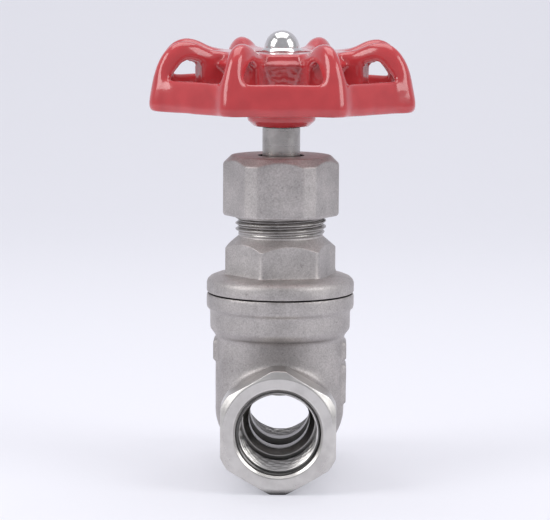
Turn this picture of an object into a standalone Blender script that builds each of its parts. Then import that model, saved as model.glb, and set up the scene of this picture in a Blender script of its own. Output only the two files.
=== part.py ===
"""A small screwed-end gate valve with a non-rising stem, modelled open.

The valve stands on the blunted lower corners of its two hexagonal pipe ends. The pipe
axis runs along Y, the stem axis is Z, and the origin is on the surface it stands on.
"""

import math

import bmesh
import bpy
from mathutils import Vector

MM = 0.001

# ---- pipe ends and the bore between them
PORT_HEIGHT = 15.4 * MM
FACE_TO_FACE = 58.0 * MM
END_HEX_FLATS = 28.6 * MM
END_HEX_LENGTH = 10.0 * MM
END_CORNER_RADIUS = 15.6 * MM
END_FACE_RADIUS = 13.9 * MM
END_CHAMFER_LENGTH = 1.0 * MM
MOUTH_RADIUS = 11.25 * MM
PIPE_THREAD_RADIUS = 9.9 * MM
PIPE_THREAD_DEPTH = 16.5 * MM
UNDERCUT_RADIUS = 10.8 * MM
UNDERCUT_LENGTH = 1.7 * MM
SHOULDER_LENGTH = 2.3 * MM
LIP_LENGTH = 0.6 * MM
BORE_RADIUS = 7.75 * MM
END_NECK_RADIUS = 13.7 * MM

# ---- seats and gate
SEAT_WALL = 1.45 * MM
SEAT_PRESS_GAP = 0.05 * MM
GATE_RADIUS = 9.75 * MM
GATE_HALF_THICKNESS = 4.4 * MM
GATE_TAPER = math.radians(3.0)
GATE_SEAT_GAP = 0.05 * MM
GATE_BOSS_WIDTH = 10.0 * MM
GATE_BOSS_DEPTH = 8.5 * MM
GATE_BOSS_TOP = 17.0 * MM
GATE_BOSS_CORNER = 1.4 * MM
GATE_OPEN_LIFT = 14.75 * MM
GATE_EXTRA_LIFT = 3.0 * MM
GUIDE_WIDTH = 2.2 * MM
GUIDE_INNER = 8.8 * MM
GUIDE_CLEARANCE = 0.2 * MM
CHAMBER_HALF_WIDTH = 12.3 * MM
CHAMBER_HALF_DEPTH = 5.8 * MM
CHAMBER_DROP = 10.4 * MM

# ---- body casting
BODY_HALF_WIDTH = 16.45 * MM
BODY_HALF_DEPTH = 12.0 * MM
BOWL_DROP = 14.8 * MM
BOWL_RISE = 1.6 * MM
BODY_NECK_HEIGHT = 35.8 * MM
COLLAR_RADIUS = 17.9 * MM
COLLAR_BOTTOM = 37.7 * MM
FLANGE_RADIUS = 18.8 * MM
FLANGE_BOTTOM = 42.5 * MM
FLANGE_TOP = 46.65 * MM
EDGE_BREAK = 0.6 * MM
PAD_WIDTH = 9.0 * MM
PAD_PROUD = 0.5 * MM
PAD_HEIGHTS = {1: ((18.6, 22.9), (23.6, 28.5), (29.9, 34.3)), -1: ((29.6, 34.6),)}

# ---- bonnet
FACE_GAP = 0.3 * MM
MOUTH_THREAD_RADIUS = 14.0 * MM
SPIGOT_CLEARANCE = 0.2 * MM
SPIGOT_LENGTH = 7.05 * MM
GASKET_WIDTH = 1.8 * MM
GASKET_THICKNESS = 0.9 * MM
BONNET_FLANGE_HEIGHT = 4.35 * MM
BONNET_RIM_HEIGHT = 3.3 * MM
BONNET_HEX_FLATS = 25.2 * MM
BONNET_HEX_TURN = math.radians(-18.5)
BONNET_HEX_CORNER_RADIUS = 14.1 * MM
BONNET_HEX_HEIGHT = 7.0 * MM
BONNET_SHOULDER_HEIGHT = 3.65 * MM
BONNET_NECK_RADIUS = 11.55 * MM
BONNET_TOP = 76.4 * MM
CAVITY_RADIUS = 7.0 * MM
CAVITY_TOP = 53.0 * MM
CAVITY_MOUTH_CLEARANCE = 0.6 * MM
STUFFING_FLOOR = 60.2 * MM
STUFFING_RADIUS = 8.0 * MM

# ---- stem
STEM_RADIUS = 4.8 * MM
STEM_THREAD_RADIUS = 3.0 * MM
STEM_TIP_BELOW_OPEN_GATE = 4.15 * MM
STEM_COLLAR_HEIGHT = 2.6 * MM
RUNNING_CLEARANCE = 0.1 * MM
WHEEL_SQUARE = 6.5 * MM
STUD_RADIUS = 2.95 * MM

# ---- packing and gland
THRUST_WASHER_THICKNESS = 0.8 * MM
PACKING_WASHER_THICKNESS = 0.8 * MM
PACKING_RING_HEIGHT = 2.3 * MM
PACKING_CLEARANCE = 0.3 * MM
FOLLOWER_HEIGHT = 4.1 * MM
FOLLOWER_CLEARANCE = 0.2 * MM
NUT_FLATS = 27.3 * MM
NUT_CORNER_RADIUS = 14.75 * MM
NUT_BOTTOM = 66.5 * MM
NUT_HEIGHT = 15.3 * MM
NUT_CHAMFER = 1.7 * MM
NUT_THREAD_CLEARANCE = 0.2 * MM
NUT_TOP_HOLE_RADIUS = 5.8 * MM

# ---- handwheel, measured up from the underside of its rim
WHEEL_BOTTOM = 93.1 * MM
LOBES = 8
LOBE_TURN = math.radians(-66.0)
RIM_APOTHEM = 31.3 * MM
LOBE_FOOT_HALF_WIDTH = 3.7 * MM
LOBE_CREST_HALF_WIDTH = 2.1 * MM
LOBE_SHOULDER_IN = 0.4 * MM
LOBE_SHOULDER_DROP = 0.9 * MM
SKIRT_HEIGHT = 8.6 * MM
WINDOW_CORNER_SHARE = 0.62
WHEEL_WALL = 2.2 * MM
DISC_RADIUS = 16.0 * MM
DISC_TOP = 15.0 * MM
DISC_EDGE_WIDTH = 1.5 * MM
DISC_EDGE_DROP = 0.5 * MM
DISC_HOLE_RADIUS = 8.2 * MM
HUB_RADIUS = 8.85 * MM
HUB_DROP = 3.9 * MM
HUB_FOOT_RADIUS = 7.2 * MM
RECESS_RADIUS = 7.5 * MM
RECESS_FLOOR = 9.7 * MM
SQUARE_CLEARANCE = 0.3 * MM
WEB_RADIUS = 15.3 * MM
WEB_BOTTOM = 2.0 * MM
RIB_INNER = 6.0 * MM
RIB_OUTER = 22.2 * MM
RIB_HALF_WIDTH = 2.3 * MM
RIB_BOTTOM = 6.5 * MM
RIB_TOP = 13.6 * MM

# ---- wheel fastening
WHEEL_WASHER_RADIUS = 6.2 * MM
WHEEL_WASHER_THICKNESS = 1.0 * MM
CAP_NUT_FLATS = 10.0 * MM
CAP_NUT_HEX_HEIGHT = 4.4 * MM
DOME_RADIUS = 4.4 * MM
CAP_NUT_HEIGHT = 9.0 * MM
CAP_NUT_CROWN = 3.0 * MM
STUD_CLEARANCE = 0.15 * MM

REST_GAP = 0.3 * MM
ROUND_STEPS = 48
SMALL_STEPS = 32

FINISHES = {
    "cast_stainless": ((0.33, 0.30, 0.29), 0.55, 0.85),
    "machined_stainless": ((0.55, 0.53, 0.50), 0.28, 1.0),
    "polished_stainless": ((0.75, 0.73, 0.72), 0.08, 1.0),
    "red_enamel": ((0.47, 0.06, 0.07), 0.2, 0.0),
    "ptfe": ((0.85, 0.85, 0.82), 0.5, 0.0),
    "graphite_sheet": ((0.03, 0.03, 0.03), 0.7, 0.0),
}


# ---------------------------------------------------------------- modelling helpers
def clear_scene():
    for obj in list(bpy.data.objects):
        bpy.data.objects.remove(obj)


def finish_of(name):
    material = bpy.data.materials.get(name)
    if material is None:
        colour, roughness, metallic = FINISHES[name]
        material = bpy.data.materials.new(name)
        material.use_nodes = True
        shader = material.node_tree.nodes["Principled BSDF"]
        shader.inputs["Base Color"].default_value = (*colour, 1.0)
        shader.inputs["Roughness"].default_value = roughness
        shader.inputs["Metallic"].default_value = metallic
    return material


def object_from(bm, name):
    """A mesh object in the scene, its faces turned outwards and its round sides smooth."""
    bmesh.ops.recalc_face_normals(bm, faces=bm.faces)
    mesh = bpy.data.meshes.new(name)
    bm.to_mesh(mesh)
    bm.free()
    mesh.shade_smooth()
    mesh.set_sharp_from_angle(angle=math.radians(35))
    obj = bpy.data.objects.new(name, mesh)
    bpy.context.scene.collection.objects.link(obj)
    return obj


def turned(name, outline, steps=ROUND_STEPS, axis="Z", height=0.0):
    """A closed outline of (radius, distance along the axis) points, spun once round.

    An outline about Y is raised by height, so that it can lie on the pipe axis.
    """
    along = Vector((0, 0, 1)) if axis == "Z" else Vector((0, 1, 0))
    centre = Vector((0, 0, height))
    bm = bmesh.new()
    verts = [bm.verts.new(centre + Vector((radius, 0, 0)) + along * place) for radius, place in outline]
    edges = []
    for near, far in zip(range(len(verts)), [*range(1, len(verts)), 0]):
        if outline[near][0] > 0 or outline[far][0] > 0:
            edges.append(bm.edges.new((verts[near], verts[far])))
    bmesh.ops.spin(bm, geom=verts + edges, cent=centre, axis=along, steps=steps, angle=2 * math.pi)
    bmesh.ops.remove_doubles(bm, verts=bm.verts, dist=0.0005 * MM)
    return object_from(bm, name)


def prism(name, corners, start, end, axis="Z"):
    """A flat outline carried along Z, or along Y where its corners are (x, z)."""
    bm = bmesh.new()
    if axis == "Z":
        verts = [bm.verts.new((x, y, start)) for x, y in corners]
        move = Vector((0, 0, end - start))
    else:
        verts = [bm.verts.new((x, start, z)) for x, z in corners]
        move = Vector((0, end - start, 0))
    face = bm.faces.new(verts)
    made = bmesh.ops.extrude_face_region(bm, geom=[face])["geom"]
    bmesh.ops.translate(bm, vec=move, verts=[part for part in made if isinstance(part, bmesh.types.BMVert)])
    return object_from(bm, name)


def block(name, low, high):
    """A box between two opposite corners."""
    corners = [(low[0], low[1]), (high[0], low[1]), (high[0], high[1]), (low[0], high[1])]
    return prism(name, corners, low[2], high[2])


def lofted(name, sections, steps):
    """Rounded oval sections of (height, half width, half depth), skinned and capped."""
    bm = bmesh.new()
    rings = []
    for height, half_width, half_depth in sections:
        ring = []
        for step in range(steps):
            x, y = oval_point(half_width, half_depth, 2 * math.pi * step / steps)
            ring.append(bm.verts.new((x, y, height)))
        rings.append(ring)
    for low, high in zip(rings, rings[1:]):
        for step in range(steps):
            after = (step + 1) % steps
            bm.faces.new((low[step], low[after], high[after], high[step]))
    bm.faces.new(rings[0])
    bm.faces.new(rings[-1])
    return object_from(bm, name)


def oval_point(half_width, half_depth, angle, squareness=2.5):
    """A point on an oval whose corners are a little fuller than an ellipse's."""
    power = 2 / squareness
    x = math.copysign(abs(math.cos(angle)) ** power, math.cos(angle)) * half_width
    y = math.copysign(abs(math.sin(angle)) ** power, math.sin(angle)) * half_depth
    return x, y


def hexagon(flats, first_corner):
    corner_radius = flats / math.sqrt(3)
    angles = [first_corner + math.radians(60 * corner) for corner in range(6)]
    return [(corner_radius * math.cos(angle), corner_radius * math.sin(angle)) for angle in angles]


def boolean(target, operation, *tools):
    """Joins, cuts or intersects target with each tool, which then only shows as a wire."""
    for tool in tools:
        modifier = target.modifiers.new(tool.name, "BOOLEAN")
        modifier.operation = operation
        modifier.solver = "EXACT"
        modifier.object = tool
        tool.hide_render = True
        tool.display_type = "WIRE"
    return target


def finished(obj, finish, parent=None):
    obj.data.materials.clear()
    obj.data.materials.append(finish_of(finish))
    obj.parent = parent
    return obj


def axis_empty(name, height):
    """An empty on the stem axis, which carries the pieces that move together."""
    empty = bpy.data.objects.new(name, None)
    empty.location = (0, 0, height)
    bpy.context.scene.collection.objects.link(empty)
    bpy.context.view_layer.update()
    return empty


def carried(obj, finish, parent):
    """A finished piece that follows an empty, with its mesh where it was modelled."""
    finished(obj, finish, parent)
    obj.matrix_parent_inverse = parent.matrix_world.inverted()
    return obj


def ring(name, inner, outer, bottom, top, steps=SMALL_STEPS):
    return turned(name, [(outer, top), (outer, bottom), (inner, bottom), (inner, top)], steps)


# ---------------------------------------------------------------- the body casting
def seat_depth():
    """How far inside each pipe end the seat ring's outer face lies."""
    return PIPE_THREAD_DEPTH + UNDERCUT_LENGTH + SHOULDER_LENGTH + LIP_LENGTH


def seat_outer_face():
    return FACE_TO_FACE / 2 - seat_depth()


def end_hex(side):
    """One hexagonal pipe end, its corners turned round and its outer edge chamfered."""
    face = FACE_TO_FACE / 2
    inner = face - END_HEX_LENGTH
    corners = [(x, z + PORT_HEIGHT) for x, z in hexagon(END_HEX_FLATS, math.radians(90))]
    ends = sorted((side * inner, side * face))
    hexagonal = prism(f"end_hex_{side:+d}", corners, *ends, axis="Y")
    blank = turned(
        f"end_blank_{side:+d}",
        [
            (0, side * face),
            (END_FACE_RADIUS, side * face),
            (END_CORNER_RADIUS, side * (face - END_CHAMFER_LENGTH)),
            (END_CORNER_RADIUS, side * (inner + EDGE_BREAK)),
            (END_CORNER_RADIUS - EDGE_BREAK, side * inner),
            (END_CORNER_RADIUS - EDGE_BREAK, side * (inner - MM)),
            (0, side * (inner - MM)),
        ],
        axis="Y",
        height=PORT_HEIGHT,
    )
    return boolean(hexagonal, "INTERSECT", blank)


def port_cutter(side):
    """Mouth chamfer, pipe thread, undercut, sloped shoulder and the seat ring's hole."""
    face = FACE_TO_FACE / 2
    undercut = face - PIPE_THREAD_DEPTH
    shoulder = undercut - UNDERCUT_LENGTH
    lip = shoulder - SHOULDER_LENGTH
    seat = lip - LIP_LENGTH
    seat_radius = BORE_RADIUS + SEAT_WALL + SEAT_PRESS_GAP
    outline = [
        (0, face + MM),
        (MOUTH_RADIUS + MM, face + MM),
        (PIPE_THREAD_RADIUS, face - (MOUTH_RADIUS - PIPE_THREAD_RADIUS)),
        (PIPE_THREAD_RADIUS, undercut),
        (UNDERCUT_RADIUS, undercut),
        (UNDERCUT_RADIUS, shoulder),
        (PIPE_THREAD_RADIUS, shoulder),
        (BORE_RADIUS + SEAT_PRESS_GAP, lip),
        (BORE_RADIUS + SEAT_PRESS_GAP, seat),
        (seat_radius, seat),
        (seat_radius, 0.2 * MM),
        (0, 0.2 * MM),
    ]
    outline = [(radius, side * place) for radius, place in outline]
    return turned(f"port_cutter_{side:+d}", outline, axis="Y", height=PORT_HEIGHT)


def chamber_cutter():
    """The pocket that the gate slides in, less the two upright guides on its ends."""
    steps = 20
    corners = []
    for step in range(steps + 1):
        angle = math.pi + math.pi * step / steps
        corners.append(
            (CHAMBER_HALF_WIDTH * math.cos(angle), PORT_HEIGHT + CHAMBER_DROP * math.sin(angle))
        )
    top = FLANGE_TOP + FACE_GAP - SPIGOT_LENGTH
    corners.append((CHAMBER_HALF_WIDTH, top))
    corners.append((-CHAMBER_HALF_WIDTH, top))
    chamber = prism("chamber_cutter", corners, -CHAMBER_HALF_DEPTH, CHAMBER_HALF_DEPTH, axis="Y")
    for side in (-1, 1):
        reach = sorted((side * GUIDE_INNER, side * (CHAMBER_HALF_WIDTH + MM)))
        guide = block(
            f"guide_{side:+d}",
            (reach[0], -GUIDE_WIDTH / 2, -MM),
            (reach[1], GUIDE_WIDTH / 2, top - 2 * MM),
        )
        boolean(chamber, "DIFFERENCE", guide)
    return chamber


def mouth_cutter():
    """The threaded mouth for the bonnet, and the step that holds its gasket."""
    spigot_bottom = FLANGE_TOP + FACE_GAP - SPIGOT_LENGTH
    gasket_radius = MOUTH_THREAD_RADIUS + GASKET_WIDTH + 2 * REST_GAP
    gasket_step = FLANGE_TOP - GASKET_THICKNESS - REST_GAP
    return turned(
        "mouth_cutter",
        [
            (0, FLANGE_TOP + MM),
            (gasket_radius, FLANGE_TOP + MM),
            (gasket_radius, gasket_step),
            (MOUTH_THREAD_RADIUS, gasket_step),
            (MOUTH_THREAD_RADIUS, spigot_bottom - FACE_GAP),
            (0, spigot_bottom - FACE_GAP),
        ],
    )


def body_column():
    """The upright oval casting, which ends below in a bowl."""
    bowl_centre = PORT_HEIGHT + BOWL_RISE
    sections = []
    for share in (0.97, 0.88, 0.74, 0.56, 0.36, 0.16):
        swell = math.sqrt(1 - share * share)
        sections.append(
            (bowl_centre - BOWL_DROP * share, BODY_HALF_WIDTH * swell, BODY_HALF_DEPTH * swell)
        )
    sections.append((bowl_centre, BODY_HALF_WIDTH, BODY_HALF_DEPTH))
    sections.append((BODY_NECK_HEIGHT, BODY_HALF_WIDTH, BODY_HALF_DEPTH))
    sections.append((COLLAR_BOTTOM + MM, BODY_HALF_WIDTH, BODY_HALF_DEPTH))
    return lofted("body_column", sections, ROUND_STEPS)


def side_pad(side, bottom, top):
    """A plain raised pad on the casting's flank."""
    reach = sorted((side * (BODY_HALF_WIDTH - MM), side * (BODY_HALF_WIDTH + PAD_PROUD)))
    return block(
        f"pad_{side:+d}_{bottom / MM:.0f}",
        (reach[0], -PAD_WIDTH / 2, bottom),
        (reach[1], PAD_WIDTH / 2, top),
    )


def valve_body():
    top_rings = turned(
        "valve_body",
        [
            (0, FLANGE_TOP),
            (FLANGE_RADIUS - EDGE_BREAK / 2, FLANGE_TOP),
            (FLANGE_RADIUS, FLANGE_TOP - EDGE_BREAK / 2),
            (FLANGE_RADIUS, FLANGE_BOTTOM + EDGE_BREAK),
            (COLLAR_RADIUS, FLANGE_BOTTOM),
            (COLLAR_RADIUS, COLLAR_BOTTOM),
            (BODY_HALF_WIDTH, BODY_NECK_HEIGHT),
            (0, BODY_NECK_HEIGHT),
        ],
    )
    neck = FACE_TO_FACE / 2 - END_HEX_LENGTH + MM
    necks = turned(
        "end_necks",
        [(0, -neck), (END_NECK_RADIUS, -neck), (END_NECK_RADIUS, neck), (0, neck)],
        axis="Y",
        height=PORT_HEIGHT,
    )
    boolean(top_rings, "UNION", body_column(), necks, end_hex(-1), end_hex(1))
    for side, heights in PAD_HEIGHTS.items():
        for bottom, top in heights:
            boolean(top_rings, "UNION", side_pad(side, bottom * MM, top * MM))
    floor = block(
        "standing_flat", (-20 * MM, -FACE_TO_FACE, -5 * MM), (20 * MM, FACE_TO_FACE, 0)
    )
    boolean(
        top_rings,
        "DIFFERENCE",
        floor,
        mouth_cutter(),
        chamber_cutter(),
        port_cutter(-1),
        port_cutter(1),
    )
    return finished(top_rings, "cast_stainless")


def seat_ring(name, side):
    """A pressed-in ring whose sealing face leans to match the gate's taper."""
    outer_face = seat_outer_face() - REST_GAP / 2
    seat_face = GATE_HALF_THICKNESS + GATE_SEAT_GAP
    outer = BORE_RADIUS + SEAT_WALL
    obj = turned(
        name,
        [
            (outer, side * outer_face),
            (outer, side * seat_face),
            (BORE_RADIUS, side * seat_face),
            (BORE_RADIUS, side * outer_face),
        ],
        axis="Y",
        height=PORT_HEIGHT,
    )
    middle = (outer_face + seat_face) / 2
    for vert in obj.data.vertices:
        if abs(vert.co.y) < middle:
            vert.co.y = side * (seat_face + (vert.co.z - PORT_HEIGHT) * math.tan(GATE_TAPER))
    return finished(obj, "machined_stainless")


# ---------------------------------------------------------------- gate and stem
def gate_centre():
    return PORT_HEIGHT + GATE_OPEN_LIFT


def stem_tip():
    return gate_centre() - STEM_TIP_BELOW_OPEN_GATE


def gate_wedge(parent):
    """The tapered disc, its stem boss, its blind stem hole and its two guide grooves."""
    centre = gate_centre()
    circle = []
    for step in range(ROUND_STEPS):
        angle = 2 * math.pi * step / ROUND_STEPS
        circle.append((GATE_RADIUS * math.cos(angle), centre + GATE_RADIUS * math.sin(angle)))
    gate = prism("gate_wedge", circle, -GATE_HALF_THICKNESS, GATE_HALF_THICKNESS, axis="Y")
    for vert in gate.data.vertices:
        vert.co.y += math.copysign(1, vert.co.y) * (vert.co.z - centre) * math.tan(GATE_TAPER)
    half_width = GATE_BOSS_WIDTH / 2
    half_depth = GATE_BOSS_DEPTH / 2
    corner = GATE_BOSS_CORNER
    boss_outline = [
        (half_width, half_depth - corner),
        (half_width - corner, half_depth),
        (corner - half_width, half_depth),
        (-half_width, half_depth - corner),
        (-half_width, corner - half_depth),
        (corner - half_width, -half_depth),
        (half_width - corner, -half_depth),
        (half_width, corner - half_depth),
    ]
    boss = prism("gate_boss", boss_outline, centre, centre + GATE_BOSS_TOP)
    boolean(gate, "UNION", boss)
    hole_radius = STEM_THREAD_RADIUS + RUNNING_CLEARANCE
    hole_bottom = stem_tip() - GATE_EXTRA_LIFT - REST_GAP
    hole = turned(
        "stem_hole",
        [
            (0, centre + GATE_BOSS_TOP + MM),
            (hole_radius, centre + GATE_BOSS_TOP + MM),
            (hole_radius, hole_bottom),
            (0, hole_bottom),
        ],
        SMALL_STEPS,
    )
    boolean(gate, "DIFFERENCE", hole)
    for side in (-1, 1):
        reach = sorted((side * (GUIDE_INNER - GUIDE_CLEARANCE), side * (GATE_RADIUS + MM)))
        half_groove = GUIDE_WIDTH / 2 + GUIDE_CLEARANCE
        groove = block(
            f"groove_{side:+d}",
            (reach[0], -half_groove, centre - GATE_RADIUS - MM),
            (reach[1], half_groove, centre + GATE_RADIUS + MM),
        )
        boolean(gate, "DIFFERENCE", groove)
    return carried(gate, "machined_stainless", parent)


def thrust_washer_top():
    return STUFFING_FLOOR + REST_GAP + THRUST_WASHER_THICKNESS


def stem_collar_top():
    return thrust_washer_top() + REST_GAP + STEM_COLLAR_HEIGHT


def hub_bottom():
    return WHEEL_BOTTOM - HUB_DROP


def recess_floor():
    return WHEEL_BOTTOM + RECESS_FLOOR


def cap_nut_bottom():
    return recess_floor() + 2 * REST_GAP + WHEEL_WASHER_THICKNESS


def stem(parent):
    """Lower thread, thrust collar, plain shank, wheel square and the stud for the cap nut."""
    collar_bottom = thrust_washer_top() + REST_GAP
    collar_radius = STUFFING_RADIUS - PACKING_CLEARANCE
    shoulder = hub_bottom() - REST_GAP
    thread_top = gate_centre() + GATE_BOSS_TOP + GATE_EXTRA_LIFT + REST_GAP
    shank = turned(
        "stem",
        [
            (0, shoulder),
            (STEM_RADIUS - EDGE_BREAK / 2, shoulder),
            (STEM_RADIUS, shoulder - EDGE_BREAK / 2),
            (STEM_RADIUS, stem_collar_top()),
            (collar_radius, stem_collar_top()),
            (collar_radius, collar_bottom),
            (STEM_RADIUS, collar_bottom),
            (STEM_RADIUS, thread_top + (STEM_RADIUS - STEM_THREAD_RADIUS)),
            (STEM_THREAD_RADIUS, thread_top),
            (STEM_THREAD_RADIUS, stem_tip() + EDGE_BREAK),
            (STEM_THREAD_RADIUS - EDGE_BREAK, stem_tip()),
            (0, stem_tip()),
        ],
        SMALL_STEPS,
    )
    half = WHEEL_SQUARE / 2
    square_top = recess_floor() - REST_GAP
    square = block("wheel_square", (-half, -half, shoulder - 2 * MM), (half, half, square_top))
    stud_top = cap_nut_bottom() + CAP_NUT_HEIGHT - CAP_NUT_CROWN - REST_GAP
    stud = turned(
        "stud",
        [
            (0, stud_top),
            (STUD_RADIUS - EDGE_BREAK, stud_top),
            (STUD_RADIUS, stud_top - EDGE_BREAK),
            (STUD_RADIUS, square_top - 2 * MM),
            (0, square_top - 2 * MM),
        ],
        SMALL_STEPS,
    )
    boolean(shank, "UNION", square, stud)
    return carried(shank, "machined_stainless", parent)


# ---------------------------------------------------------------- bonnet, packing and gland
def bonnet_bottom():
    return FLANGE_TOP + FACE_GAP


def bonnet_hex_top():
    return bonnet_bottom() + BONNET_FLANGE_HEIGHT + BONNET_HEX_HEIGHT


def bonnet():
    """Spigot and flange, wrench hexagon, and the threaded neck that holds the packing."""
    flange_top = bonnet_bottom() + BONNET_FLANGE_HEIGHT
    rim_top = bonnet_bottom() + BONNET_RIM_HEIGHT
    spigot_radius = MOUTH_THREAD_RADIUS - SPIGOT_CLEARANCE
    shoulder_top = bonnet_hex_top() + BONNET_SHOULDER_HEIGHT
    lower = turned(
        "bonnet",
        [
            (0, flange_top),
            (FLANGE_RADIUS - 1.6 * MM, flange_top),
            (FLANGE_RADIUS - 0.4 * MM, rim_top + 0.3 * MM),
            (FLANGE_RADIUS, rim_top - 0.4 * MM),
            (FLANGE_RADIUS, bonnet_bottom() + EDGE_BREAK / 2),
            (FLANGE_RADIUS - EDGE_BREAK / 2, bonnet_bottom()),
            (spigot_radius, bonnet_bottom()),
            (spigot_radius, bonnet_bottom() - SPIGOT_LENGTH + EDGE_BREAK),
            (spigot_radius - EDGE_BREAK, bonnet_bottom() - SPIGOT_LENGTH),
            (0, bonnet_bottom() - SPIGOT_LENGTH),
        ],
    )
    first_corner = math.radians(-90) + BONNET_HEX_TURN
    hexagonal = prism(
        "bonnet_hex", hexagon(BONNET_HEX_FLATS, first_corner), flange_top - MM, shoulder_top
    )
    blank = turned(
        "bonnet_hex_blank",
        [
            (0, shoulder_top - 0.1 * MM),
            (BONNET_NECK_RADIUS, shoulder_top - 0.1 * MM),
            (BONNET_HEX_CORNER_RADIUS, bonnet_hex_top()),
            (BONNET_HEX_CORNER_RADIUS, flange_top - 2 * MM),
            (0, flange_top - 2 * MM),
        ],
    )
    boolean(hexagonal, "INTERSECT", blank)
    neck = turned(
        "bonnet_neck",
        [
            (0, BONNET_TOP),
            (BONNET_NECK_RADIUS - 2 * EDGE_BREAK, BONNET_TOP),
            (BONNET_NECK_RADIUS, BONNET_TOP - 2 * EDGE_BREAK),
            (BONNET_NECK_RADIUS, flange_top),
            (0, flange_top),
        ],
    )
    boolean(lower, "UNION", hexagonal, neck)
    mouth_radius = GATE_RADIUS - CAVITY_MOUTH_CLEARANCE
    bottom = bonnet_bottom() - SPIGOT_LENGTH
    mouth_top = gate_centre() + GATE_EXTRA_LIFT + GATE_RADIUS + MM
    stem_hole = STEM_RADIUS + RUNNING_CLEARANCE
    inside = turned(
        "bonnet_inside",
        [
            (0, BONNET_TOP + MM),
            (STUFFING_RADIUS, BONNET_TOP + MM),
            (STUFFING_RADIUS, STUFFING_FLOOR),
            (stem_hole, STUFFING_FLOOR),
            (stem_hole, CAVITY_TOP),
            (CAVITY_RADIUS, CAVITY_TOP),
            (CAVITY_RADIUS, mouth_top + (mouth_radius - CAVITY_RADIUS)),
            (mouth_radius, mouth_top),
            (mouth_radius, bottom - MM),
            (0, bottom - MM),
        ],
    )
    boolean(lower, "DIFFERENCE", inside)
    return finished(lower, "cast_stainless")


def bonnet_gasket():
    top = FLANGE_TOP
    inner = MOUTH_THREAD_RADIUS + REST_GAP
    gasket = ring("bonnet_gasket", inner, inner + GASKET_WIDTH, top - GASKET_THICKNESS, top)
    return finished(gasket, "graphite_sheet")


def packing_bottom():
    return stem_collar_top() + 2 * REST_GAP + PACKING_WASHER_THICKNESS


def packing_set():
    """The washers and rings between the stem and the stuffing box."""
    inner = STEM_RADIUS + RUNNING_CLEARANCE
    outer = STUFFING_RADIUS - PACKING_CLEARANCE
    washer = ring(
        "stem_thrust_washer", inner, outer, STUFFING_FLOOR + REST_GAP, thrust_washer_top()
    )
    finished(washer, "ptfe")
    bottom = stem_collar_top() + REST_GAP
    washer = ring("packing_washer", inner, outer, bottom, bottom + PACKING_WASHER_THICKNESS)
    finished(washer, "machined_stainless")
    for place, name in enumerate(("lower", "middle", "upper")):
        bottom = packing_bottom() + place * (PACKING_RING_HEIGHT + REST_GAP)
        packing = ring(f"packing_ring_{name}", inner, outer, bottom, bottom + PACKING_RING_HEIGHT)
        finished(packing, "ptfe")


def follower_bottom():
    return packing_bottom() + 3 * (PACKING_RING_HEIGHT + REST_GAP)


def gland_follower(parent):
    inner = STEM_RADIUS + RUNNING_CLEARANCE
    outer = STUFFING_RADIUS - FOLLOWER_CLEARANCE
    bottom = follower_bottom()
    follower = ring("gland_follower", inner, outer, bottom, bottom + FOLLOWER_HEIGHT)
    return carried(follower, "machined_stainless", parent)


def gland_nut(parent):
    """The large hexagon nut that presses the follower down on the packing."""
    top = NUT_BOTTOM + NUT_HEIGHT
    nut = prism("gland_nut", hexagon(NUT_FLATS, math.radians(-60)), NUT_BOTTOM, top)
    blank = turned(
        "gland_nut_blank",
        [
            (0, top + MM),
            (NUT_CORNER_RADIUS - NUT_CHAMFER - MM, top + MM),
            (NUT_CORNER_RADIUS, top - NUT_CHAMFER),
            (NUT_CORNER_RADIUS, NUT_BOTTOM + EDGE_BREAK),
            (NUT_CORNER_RADIUS - EDGE_BREAK - MM, NUT_BOTTOM - MM),
            (0, NUT_BOTTOM - MM),
        ],
    )
    boolean(nut, "INTERSECT", blank)
    bore = BONNET_NECK_RADIUS + NUT_THREAD_CLEARANCE
    ceiling = follower_bottom() + FOLLOWER_HEIGHT + REST_GAP
    inside = turned(
        "gland_nut_bore",
        [
            (0, top + MM),
            (NUT_TOP_HOLE_RADIUS, top + MM),
            (NUT_TOP_HOLE_RADIUS, ceiling),
            (bore, ceiling),
            (bore, NUT_BOTTOM + EDGE_BREAK),
            (bore + EDGE_BREAK + MM, NUT_BOTTOM - MM),
            (0, NUT_BOTTOM - MM),
        ],
    )
    boolean(nut, "DIFFERENCE", inside)
    return carried(nut, "cast_stainless", parent)


# ---------------------------------------------------------------- handwheel
def lobe_crest():
    """The crest of one lobe: four points up the rim, then over the top and down to the disc."""
    foot = [(34.6, 0.0), (35.7, 1.8), (35.0, 5.0), (34.4, 8.6)]
    arch = [(33.0, 11.8), (31.0, 15.0), (28.0, 17.4), (24.6, 18.3), (21.2, 18.0), (18.6, 16.8)]
    return [(radius * MM, height * MM) for radius, height in foot + arch]


def lobe_side():
    """Where the side of a lobe ends, one point for each of the crest's last six."""
    edge = [(30.8, 9.2), (28.6, 10.2), (26.0, 11.6), (23.6, 12.8), (21.2, 13.4), (18.8, 13.8)]
    return [(radius * MM, height * MM) for radius, height in edge]


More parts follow.
